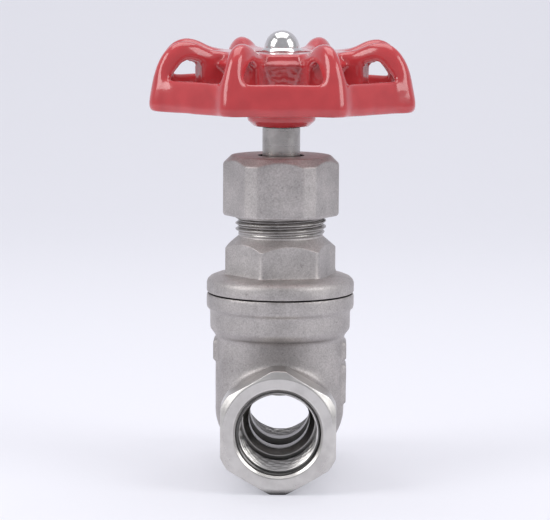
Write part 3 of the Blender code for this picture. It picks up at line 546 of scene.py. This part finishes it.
# body casting
bodySettings = {
    "halfWidth": 16.45 * mm, "halfDepth": 12.0 * mm, "fullness": 2.5,
    "bowlDrop": 14.8 * mm, "bowlRise": 1.6 * mm,
    "neckTop": 35.8 * mm, "collarRadius": 17.9 * mm, "collarBottom": 37.7 * mm, "flangeBottom": 42.5 * mm,
    "endNeck": 12.9 * mm, "saddle": 13.8 * mm, "padWidth": 9 * mm, "padProud": 0.55 * mm, "voxel": 0.42 * mm,
    "mouth": 14.0 * mm, "gasketStep": 16.4 * mm, "chamberWidth": 12.3 * mm, "chamberDepth": 5.8 * mm,
    "chamberDrop": 10.4 * mm, "seatHole": 9.25 * mm,
}


def ovalRing(bm, height, halfWidth, halfDepth, steps=96):
    ring = []
    power = 2 / bodySettings["fullness"]
    for step in range(steps):
        angle = 2 * math.pi * step / steps
        x = math.copysign(abs(math.cos(angle)) ** power, math.cos(angle)) * halfWidth
        y = math.copysign(abs(math.sin(angle)) ** power, math.sin(angle)) * halfDepth
        ring.append(bm.verts.new((x, y, height)))
    return ring


def bodyColumn(bm):
    s = bodySettings
    centre = portZ + s["bowlRise"]
    rings = []
    for step in range(1, 17):
        angle = -math.pi / 2 + math.pi / 2 * step / 16
        swell = math.cos(angle)
        height = centre + s["bowlDrop"] * math.sin(angle)
        rings.append(ovalRing(bm, height, s["halfWidth"] * swell, s["halfDepth"] * swell))
    rings.append(ovalRing(bm, s["collarBottom"] + mm, s["halfWidth"], s["halfDepth"]))
    for low, high in zip(rings, rings[1:]):
        for step in range(len(low)):
            after = (step + 1) % len(low)
            bm.faces.new((low[step], low[after], high[after], high[step]))
    bm.faces.new(rings[0])
    bm.faces.new(rings[-1])


def bodyCasting():
    s = bodySettings
    bm = bmesh.new()
    bodyColumn(bm)
    flangeRadius = bodyHigh.x
    turnRows(bm, [
        (0, flangeTop), (flangeRadius, flangeTop), (flangeRadius, s["flangeBottom"] + 0.5 * mm),
        (s["collarRadius"], s["flangeBottom"]), (s["collarRadius"], s["collarBottom"]),
        (s["halfWidth"], s["neckTop"]), (0, s["neckTop"]),
    ])
    neckEnd = endFace - endSettings["length"] + 0.4 * mm
    necks = bmesh.new()
    turnRows(necks, [
        (0, -neckEnd), (s["endNeck"], -neckEnd), (s["endNeck"], -17 * mm), (s["saddle"], -11 * mm),
        (s["saddle"], 11 * mm), (s["endNeck"], 17 * mm), (s["endNeck"], neckEnd), (0, neckEnd),
    ])
    for vert in necks.verts:
        vert.co = Vector((vert.co.x, vert.co.z, portZ + vert.co.y))
    for vert in necks.verts:
        if vert.co.z < 0.7 * mm:
            vert.co.z = 0.7 * mm
    joined = bpy.data.meshes.new("necks")
    necks.to_mesh(joined)
    necks.free()
    bm.from_mesh(joined)
    for side, heights in ((1, ((18.6, 22.9), (23.6, 28.5), (29.9, 34.3))), (-1, ((29.6, 34.6),))):
        for bottom, top in heights:
            reach = sorted((side * (s["halfWidth"] - mm), side * (s["halfWidth"] + s["padProud"])))
            blockIn(bm, (reach[0], -s["padWidth"] / 2, bottom * mm), (reach[1], s["padWidth"] / 2, top * mm))
    piece = objectFrom(bm, "bodyCasting")
    castSkin(piece, s["voxel"], 3, 0.06 * mm)

    def nearSaddle(place):
        return band(abs(place.y), 9.5 * mm, 17 * mm, 2 * mm) * band(place.z, -mm, 35 * mm, 2 * mm)

    fillCorners(piece, nearSaddle, 70)
    piece = cutAway(piece, boreTool())
    piece = cutAway(piece, chamberTool())
    piece.data.shade_smooth()
    piece.data.set_sharp_from_angle(angle=math.radians(50))
    return finishPiece(piece, "cast", "valve", "cast_stainless", "valve_body")


def boreTool():
    # everything the port pieces and seat rings fill
    s = bodySettings
    bm = bmesh.new()
    lip = endFace - endSettings["threadDepth"] - endSettings["undercutLength"] - endSettings["shoulderLength"]
    seat = lip - endSettings["lip"] + 0.1 * mm
    hole = endSettings["sleeve"] - 0.1 * mm
    turnRows(bm, [
        (0, -endFace), (hole, -endFace), (hole, -seat), (s["seatHole"], -seat),
        (s["seatHole"], seat), (hole, seat), (hole, endFace), (0, endFace),
    ], 128)
    for vert in bm.verts:
        vert.co = Vector((vert.co.x, vert.co.z, portZ + vert.co.y))
    return objectFrom(bm, "boreTool")


def chamberTool():
    s = bodySettings
    bm = bmesh.new()
    outline = []
    top = bonnetLow.z - 0.3 * mm
    for step in range(33):
        angle = math.pi + math.pi * step / 32
        outline.append((s["chamberWidth"] * math.cos(angle), portZ + s["chamberDrop"] * math.sin(angle)))
    outline += [(s["chamberWidth"], top + 0.2 * mm), (-s["chamberWidth"], top + 0.2 * mm)]
    rings = [[bm.verts.new((x, y, z)) for x, z in outline] for y in (-s["chamberDepth"], s["chamberDepth"])]
    bm.faces.new(rings[0])
    bm.faces.new(rings[1])
    for step in range(len(outline)):
        after = (step + 1) % len(outline)
        bm.faces.new((rings[0][step], rings[0][after], rings[1][after], rings[1][step]))
    chamber = objectFrom(bm, "chamberTool")
    bm = bmesh.new()
    turnRows(bm, [
        (0, flangeTop + mm), (s["gasketStep"], flangeTop + mm), (s["gasketStep"], flangeTop - 1.2 * mm),
        (s["mouth"], flangeTop - 1.2 * mm), (s["mouth"], top), (0, top),
    ], 128)
    mouth = objectFrom(bm, "mouthTool")
    union = chamber.modifiers.new("union", "BOOLEAN")
    union.operation = "UNION"
    union.solver = "EXACT"
    union.object = mouth
    applied(chamber)
    bpy.data.objects.remove(mouth)
    return chamber


for side, name in ((-1, "frontPipeEnd"), (1, "rearPipeEnd")):
    pipeEnd(side, name)
print("pipe ends made")
bodyCasting()
print("body casting made")


# bonnet
bonnetSettings = {
    "spigot": 13.8 * mm, "rim": 3.3 * mm, "flange": 4.35 * mm, "hexFlats": 25.2 * mm, "hexCorner": 1.6 * mm,
    "hexTurn": math.radians(-108.5), "shoulderTop": 14.0 * mm, "slope": 0.85, "neck": 11.1 * mm,
    "threadRoot": 10.75 * mm, "threadCrest": 11.55 * mm, "pitch": 1.5 * mm, "box": 8.0 * mm,
    "boxFloor": 60.2 * mm, "stemHole": 4.9 * mm, "cavity": 7.0 * mm,
    "cavityTop": 53.0 * mm, "cavityMouth": 9.15 * mm,
}


def bonnetCasting():
    s = bonnetSettings
    base = flangeTop + 0.3 * mm
    rim = bonnetHigh.x

    def hexEdge(angle):
        return roundedHex(angle, s["hexFlats"], s["hexCorner"], s["hexTurn"])

    def coneStart(angle):
        return base + s["shoulderTop"] - (hexEdge(angle) - s["neck"]) * s["slope"]

    bm = bmesh.new()
    turnRows(bm, [
        (s["spigot"] - 0.5 * mm, bonnetLow.z), (s["spigot"], bonnetLow.z + 0.5 * mm), (s["spigot"], base),
        (rim - 0.25 * mm, base), (rim, base + 0.25 * mm), (rim, base + s["rim"] - 0.9 * mm),
        (rim - 0.25 * mm, base + s["rim"] - 0.2 * mm), (rim - 0.9 * mm, base + s["rim"] + 0.45 * mm),
        (rim - 2.2 * mm, base + s["flange"] - 0.1 * mm),
        (lambda angle: hexEdge(angle) + 1.6 * mm, base + s["flange"]),
        (lambda angle: hexEdge(angle) + 0.35 * mm, base + s["flange"] + 0.3 * mm),
        (hexEdge, base + s["flange"] + 1.3 * mm), (hexEdge, coneStart),
        (s["neck"], base + s["shoulderTop"]), (s["threadRoot"], base + s["shoulderTop"] + 0.3 * mm),
        (s["threadRoot"], bonnetHigh.z), (s["box"], bonnetHigh.z), (s["box"], s["boxFloor"]),
        (s["stemHole"], s["boxFloor"]), (s["stemHole"], s["cavityTop"]), (s["cavity"], s["cavityTop"]),
        (s["cavity"], 46.0 * mm), (s["cavityMouth"], 43.9 * mm), (s["cavityMouth"], bonnetLow.z),
    ])
    piece = objectFrom(bm, "bonnetCasting")
    softEdges(piece, 0.3 * mm)
    finishPiece(piece, "cast", "valve", "cast_stainless", "bonnet")
    start = base + s["shoulderTop"] + 0.5 * mm
    thread = threadPiece("bonnetThread", "shaft", {
        "Root Radius": s["threadRoot"] - 0.05 * mm, "Crest Radius": s["threadCrest"],
        "Back Radius": s["threadRoot"] - 0.6 * mm,
        "Start": start, "Length": bonnetHigh.z - 0.2 * mm - start, "Pitch": s["pitch"],
        "Steps": 128, "Rows": 130})
    return finishPiece(thread, "shaft", "valve", "cast_stainless")


# gland nut
nutSettings = {
    "flats": 27.3 * mm, "corner": 0.8 * mm, "topSlope": 1.0, "topRadius": 12.7 * mm, "hole": 5.8 * mm,
    "bore": 11.75 * mm, "ceiling": 77.8 * mm,
}


def glandNut():
    s = nutSettings

    def hexEdge(angle):
        return min(roundedHex(angle, s["flats"], s["corner"], math.radians(-60)), nutHigh.x)

    def chamfer(angle):
        return nutHigh.z - (hexEdge(angle) - s["topRadius"]) * s["topSlope"]

    bm = bmesh.new()
    turnRows(bm, [
        (s["hole"], nutHigh.z), (s["topRadius"], nutHigh.z), (hexEdge, chamfer),
        (hexEdge, nutLow.z + 0.5 * mm),
        (lambda angle: hexEdge(angle) - 0.4 * mm, nutLow.z), (s["bore"] + 0.5 * mm, nutLow.z),
        (s["bore"], nutLow.z + 0.5 * mm), (s["bore"], s["ceiling"]), (s["hole"], s["ceiling"]),
    ])
    piece = objectFrom(bm, "glandNut")
    softEdges(piece, 0.35 * mm, 3)
    return finishPiece(piece, "cast", "gland_nut", "cast_stainless", "gland_nut")


bonnetCasting()
glandNut()
print("bonnet and gland nut made")


# stem, washer and cap nut
stemSettings = {
    "shank": 4.8 * mm, "collar": 7.7 * mm, "collarBottom": 61.6 * mm, "collarTop": 64.2 * mm,
    "lower": 2.7 * mm,
    "threadCrest": 3.0 * mm, "threadTop": 50.45 * mm, "neckBottom": 52.25 * mm, "shoulder": 89.2 * mm,
    "square": 6.5 * mm, "squareTop": 102.5 * mm, "stud": 2.95 * mm, "pitch": 2.0 * mm,
}


def stemPiece():
    s = stemSettings

    def squareEdge(angle):
        turn = (angle + math.pi / 4) % (math.pi / 2) - math.pi / 4
        return min(s["square"] / 2 / math.cos(turn), s["square"] * 0.69)

    bm = bmesh.new()
    turnRows(bm, [
        (0, stemHigh.z), (s["stud"] - 0.6 * mm, stemHigh.z), (s["stud"], stemHigh.z - 0.6 * mm),
        (s["stud"], s["squareTop"]), (squareEdge, s["squareTop"]), (squareEdge, s["shoulder"]),
        (s["shank"] - 0.3 * mm, s["shoulder"]), (s["shank"], s["shoulder"] - 0.3 * mm),
        (s["shank"], s["collarTop"]),
        (s["collar"], s["collarTop"]), (s["collar"], s["collarBottom"]), (s["shank"], s["collarBottom"]),
        (s["shank"], s["neckBottom"]), (s["lower"], s["threadTop"]), (s["lower"], stemLow.z + 0.5 * mm),
        (s["lower"] - 0.5 * mm, stemLow.z), (0, stemLow.z),
    ], 96)
    piece = objectFrom(bm, "stemShaft")
    softEdges(piece, 0.12 * mm)
    finishPiece(piece, "shaft", "spindle", "machined_stainless", "stem")
    start = stemLow.z + 0.6 * mm
    thread = threadPiece("stemThread", "shaft", {
        "Root Radius": s["lower"] - 0.05 * mm, "Crest Radius": s["threadCrest"],
        "Back Radius": s["lower"] - 0.5 * mm,
        "Start": start, "Length": s["threadTop"] - start, "Pitch": s["pitch"], "Steps": 64, "Rows": 150})
    return finishPiece(thread, "shaft", "spindle", "machined_stainless")


capSettings = {"flats": 10 * mm, "corner": 0.25 * mm, "hexTop": 4.4 * mm, "dome": 4.4 * mm, "hole": 3.1 * mm}


def capNut():
    s = capSettings
    domeBase = capHigh.z - s["dome"]

    def hexEdge(angle):
        return roundedHex(angle, s["flats"], s["corner"], 0)

    def chamfer(angle):
        return capLow.z + s["hexTop"] - (hexEdge(angle) - s["dome"]) * 0.55

    rows = [(s["hole"], capLow.z), (lambda angle: hexEdge(angle) - 0.3 * mm, capLow.z),
            (hexEdge, capLow.z + 0.2 * mm),
            (hexEdge, chamfer), (s["dome"] + 0.25 * mm, capLow.z + s["hexTop"]),
            (s["dome"], capLow.z + s["hexTop"] + 0.25 * mm)]
    for step in range(25):
        angle = math.pi / 2 * step / 24
        out = 0 if step == 24 else s["dome"] * math.cos(angle)
        rows.append((out, domeBase + s["dome"] * math.sin(angle)))
    rows += [(0, capHigh.z - 3 * mm), (s["hole"], capHigh.z - 3.4 * mm)]
    bm = bmesh.new()
    turnRows(bm, rows, 120)
    piece = objectFrom(bm, "capNut", 28)
    softEdges(piece, 0.1 * mm)
    return finishPiece(piece, "chrome", "spindle", "polished_stainless", "cap_nut")


def wheelWasher():
    bm = bmesh.new()
    turnRows(bm, [(3.1 * mm, washerLow.z), (washerHigh.x, washerLow.z), (washerHigh.x, washerHigh.z),
                  (3.1 * mm, washerHigh.z)], 120)
    piece = objectFrom(bm, "wheelWasher")
    softEdges(piece, 0.12 * mm)
    return finishPiece(piece, "shaft", "spindle", "machined_stainless", "handwheel_washer")


stemPiece()
capNut()
wheelWasher()
print("stem and cap nut made")


# handwheel
wheelSettings = {
    "lobes": 8, "turn": math.radians(-66.0), "apothem": 31.3 * mm, "wall": 2.3 * mm,
    "disc": 17.8 * mm, "armHalf": 3.1 * mm,
    "discTop": 15.1 * mm, "skirtTop": 8.9 * mm, "footHalf": 3.8 * mm, "crestHalf": 2.1 * mm,
    "hub": 8.7 * mm, "hubDrop": 3.9 * mm, "hubFoot": 7.0 * mm, "recess": 7.5 * mm, "recessFloor": 9.7 * mm,
    "hole": 4.75 * mm, "voxel": 0.4 * mm,
    "web": 19.0 * mm, "webBottom": 2.0 * mm, "webTop": 12.2 * mm, "ribStart": 8.5 * mm, "ribEnd": 22.6 * mm,
    "ribHalf": 2.6 * mm, "ribBottom": 6.5 * mm, "ribTop": 13.8 * mm,
    # the crest of a lobe, and the lower edge of its side, as (distance out, height) in millimetres
    "crest": [(34.9, 0), (36.0, 1.8), (35.3, 5.0), (34.7, 8.6), (33.9, 12.0), (32.1, 15.3), (29.6, 17.5),
              (26.6, 18.3), (23.4, 17.6), (20.4, 16.0)],
    "side": [(30.8, 9.2), (29.2, 11.2), (27.2, 13.2), (25.2, 13.4), (23.0, 12.4), (20.4, 11.8)],
    "footRows": 4,  # rows of the crest that belong to the rim
}


def wheelSheet(bm):
    s = wheelSettings
    base = wheelLow.z + s["hubDrop"]
    sector = math.pi / s["lobes"]

    def put(lobe, out, sideways, height):
        angle = s["turn"] + 2 * sector * lobe
        x = out * math.cos(angle) - sideways * math.sin(angle)
        y = out * math.sin(angle) + sideways * math.cos(angle)
        return bm.verts.new((x, y, base + height))

    columns = []
    for lobe in range(s["lobes"]):
        for kind in (-3, -2, -1, 0, 1, 2, 3, 4):
            column = []
            for row, (out, height) in enumerate(s["crest"]):
                out, height = out * mm, height * mm
                swell = out - s["crest"][s["footRows"] - 1][0] * mm
                level = min(height, s["skirtTop"])
                if abs(kind) <= 1:
                    drop = 0 if row < s["footRows"] else 0.8 * mm * abs(kind)
                    inward = 0.5 * mm * abs(kind)
                    column.append(put(lobe, out - inward, kind * s["crestHalf"], height - drop))
                elif abs(kind) == 2:
                    sideways = math.copysign(s["footHalf"], kind)
                    flat = (s["apothem"] - s["footHalf"] * math.sin(sector)) / math.cos(sector)
                    if row < s["footRows"]:
                        column.append(put(lobe, flat + swell * 0.7, sideways, level))
                    else:
                        sideOut, sideUp = s["side"][row - s["footRows"]]
                        column.append(put(lobe, sideOut * mm, math.copysign(s["armHalf"], kind), sideUp * mm))
                elif row < s["footRows"]:
                    turn = sector if kind == 4 else math.copysign(sector * 0.6, kind)
                    reach = (s["apothem"] + swell * 0.6) / math.cos(sector - abs(turn))
                    column.append(put(lobe, reach * math.cos(turn), reach * math.sin(turn), level))
                else:
                    column.append(None)
            for reach, down in ((s["disc"], 0.6 * mm), (s["disc"] - 1.6 * mm, 0), (8.2 * mm, 0)):
                width = (0, s["crestHalf"], s["armHalf"])[min(abs(kind), 2)]
                turn = math.copysign(math.asin(width / s["disc"]), kind)
                if abs(kind) > 2:
                    turn = sector if kind == 4 else math.copysign(sector * 0.6, kind)
                fall = down if abs(kind) > 1 else -down * 0.6
                column.append(put(lobe, reach * math.cos(turn), reach * math.sin(turn), s["discTop"] - fall))
            columns.append((kind, column))
    lastArch = len(s["crest"]) - 1
    for index, (kind, column) in enumerate(columns):
        after = columns[(index + 1) % len(columns)][1]
        for row in range(len(column) - 1):
            corners = (column[row], after[row], after[row + 1], column[row + 1])
            if None not in corners and not (kind in (2, 3, 4, -3) and row == lastArch):
                bm.faces.new(corners)


def handwheel():
    s = wheelSettings
    base = wheelLow.z + s["hubDrop"]
    bm = bmesh.new()
    wheelSheet(bm)
    shell = objectFrom(bm, "wheelCasting")
    wall = shell.modifiers.new("wall", "SOLIDIFY")
    wall.thickness = s["wall"]
    wall.offset = -1
    wall.use_even_offset = False
    soft = shell.modifiers.new("soft", "SUBSURF")
    soft.levels = 2
    soft.render_levels = 2
    applied(shell)
    bm = bmesh.new()
    bm.from_mesh(shell.data)
    turnRows(bm, [
        (s["hole"], wheelLow.z), (s["hubFoot"], wheelLow.z), (s["hub"], wheelLow.z + 1.5 * mm),
        (s["hub"], base + s["webBottom"]), (s["web"], base + s["webTop"]),
        (s["disc"] - 1.5 * mm, base + s["discTop"] - 0.6 * mm), (s["recess"], base + s["discTop"] - 0.1 * mm),
        (s["recess"], base + s["recessFloor"]), (s["hole"], base + s["recessFloor"]),
    ], 96)
    for lobe in range(s["lobes"]):
        ribs = bmesh.new()
        inner = (s["ribStart"], -s["ribHalf"], base + s["ribBottom"])
        blockIn(ribs, inner, (s["ribEnd"], s["ribHalf"], base + s["ribTop"]))
        ribs.transform(Matrix.Rotation(s["turn"] + 2 * math.pi * lobe / s["lobes"], 4, "Z"))
        rib = bpy.data.meshes.new("rib")
        ribs.to_mesh(rib)
        ribs.free()
        bm.from_mesh(rib)
    bm.to_mesh(shell.data)
    bm.free()
    castSkin(shell, s["voxel"], 5, 0.10 * mm)

    def sandCast(place, normal):
        hidden = band(place.xy.length, 10 * mm, 27.5 * mm, 1.5 * mm) * band(place.z - base, 0, 12.5 * mm, mm)
        return hidden * (0.25 + max(0.0, -normal.z)) * 0.22 * mm * noise.noise(place * sandGrain)

    roughened(shell, sandCast)
    return finishPiece(shell, "enamel", "spindle", "red_enamel", "handwheel")


handwheel()
print("handwheel made")


# carried-over pieces get their finishes
for node, finish in {
    "seat_ring_front": "seat", "seat_ring_rear": "seat", "gate_wedge": "seat", "bonnet_gasket": "graphite",
    "stem_thrust_washer": "ptfe", "packing_washer": "shaft", "packing_ring_lower": "ptfe",
    "packing_ring_middle": "ptfe",
    "packing_ring_upper": "ptfe", "gland_follower": "shaft",
}.items():
    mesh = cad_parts[node].data
    mesh.materials.clear()
    mesh.materials.append(finishes[finish])


# studio
def paleSweep():
    # a floor that curves up into a back wall behind the valve
    material, tree, shader = newMaterial("paleSweep", 0.75, 0.0)
    shader.inputs["Base Color"].default_value = (0.50, 0.50, 0.53, 1)
    shader.inputs["Emission Color"].default_value = (0.86, 0.86, 0.93, 1)
    shader.inputs["Emission Strength"].default_value = 0.38
    bm = bmesh.new()
    profile = [(-1.6, 0.0), (0.5, 0.0)]
    for step in range(1, 13):
        angle = math.pi / 2 * step / 12
        profile.append((0.5 + 0.5 * math.sin(angle), 0.5 - 0.5 * math.cos(angle)))
    profile.append((1.0, 2.2))
    rows = [[bm.verts.new((x, y, z)) for x in (-2.5, 2.5)] for y, z in profile]
    for near, far in zip(rows, rows[1:]):
        bm.faces.new((near[0], near[1], far[1], far[0]))
    sweep = objectFrom(bm, "paleSweep")
    sweep.data.materials.append(material)


def softLight(name, place, target, size, power, colour=(1, 1, 1)):
    light = bpy.data.lights.new(name, "AREA")
    light.shape = "RECTANGLE"
    light.size, light.size_y = size
    light.energy = power
    light.color = colour
    lamp = bpy.data.objects.new(name, light)
    lamp.location = place
    lamp.rotation_euler = (Vector(target) - Vector(place)).to_track_quat("-Z", "Y").to_euler()
    bpy.context.scene.collection.objects.link(lamp)


cameraSettings = {
    "distance": 0.62, "azimuth": 0.6, "height": 0.135, "aim": (-0.0014, 0, 0.0549), "lens": 160.2,
    "roll": 0.38,
}


def addCamera():
    s = cameraSettings
    camera = bpy.data.cameras.new("camera")
    camera.lens = s["lens"]
    camera.sensor_width = 36
    camera.sensor_fit = "HORIZONTAL"
    camera.clip_start = 0.01
    holder = bpy.data.objects.new("camera", camera)
    turn = math.radians(s["azimuth"])
    place = Vector((s["distance"] * math.sin(turn), -s["distance"] * math.cos(turn), s["height"]))
    holder.location = place
    look = (Vector(s["aim"]) - place).to_track_quat("-Z", "Y")
    holder.rotation_euler = (look.to_matrix() @ Matrix.Rotation(math.radians(s["roll"]), 3, "Z")).to_euler()
    bpy.context.scene.collection.objects.link(holder)
    bpy.context.scene.camera = holder


paleSweep()
softLight("leftBox", (-0.55, -0.25, 0.45), (0, 0, 0.07), (0.35, 0.5), 2.2)
softLight("rightBox", (0.55, -0.25, 0.42), (0, 0, 0.07), (0.35, 0.5), 1.8)
softLight("topBox", (0, 0.1, 0.8), (0, 0, 0.05), (0.7, 0.6), 2.6)
world = bpy.data.worlds.new("paleRoom")
world.use_nodes = True
world.node_tree.nodes["Background"].inputs["Color"].default_value = (0.86, 0.87, 0.93, 1)
world.node_tree.nodes["Background"].inputs["Strength"].default_value = 0.52
bpy.context.scene.world = world
bpy.context.scene.view_settings.view_transform = "Standard"
addCamera()
print("studio set")
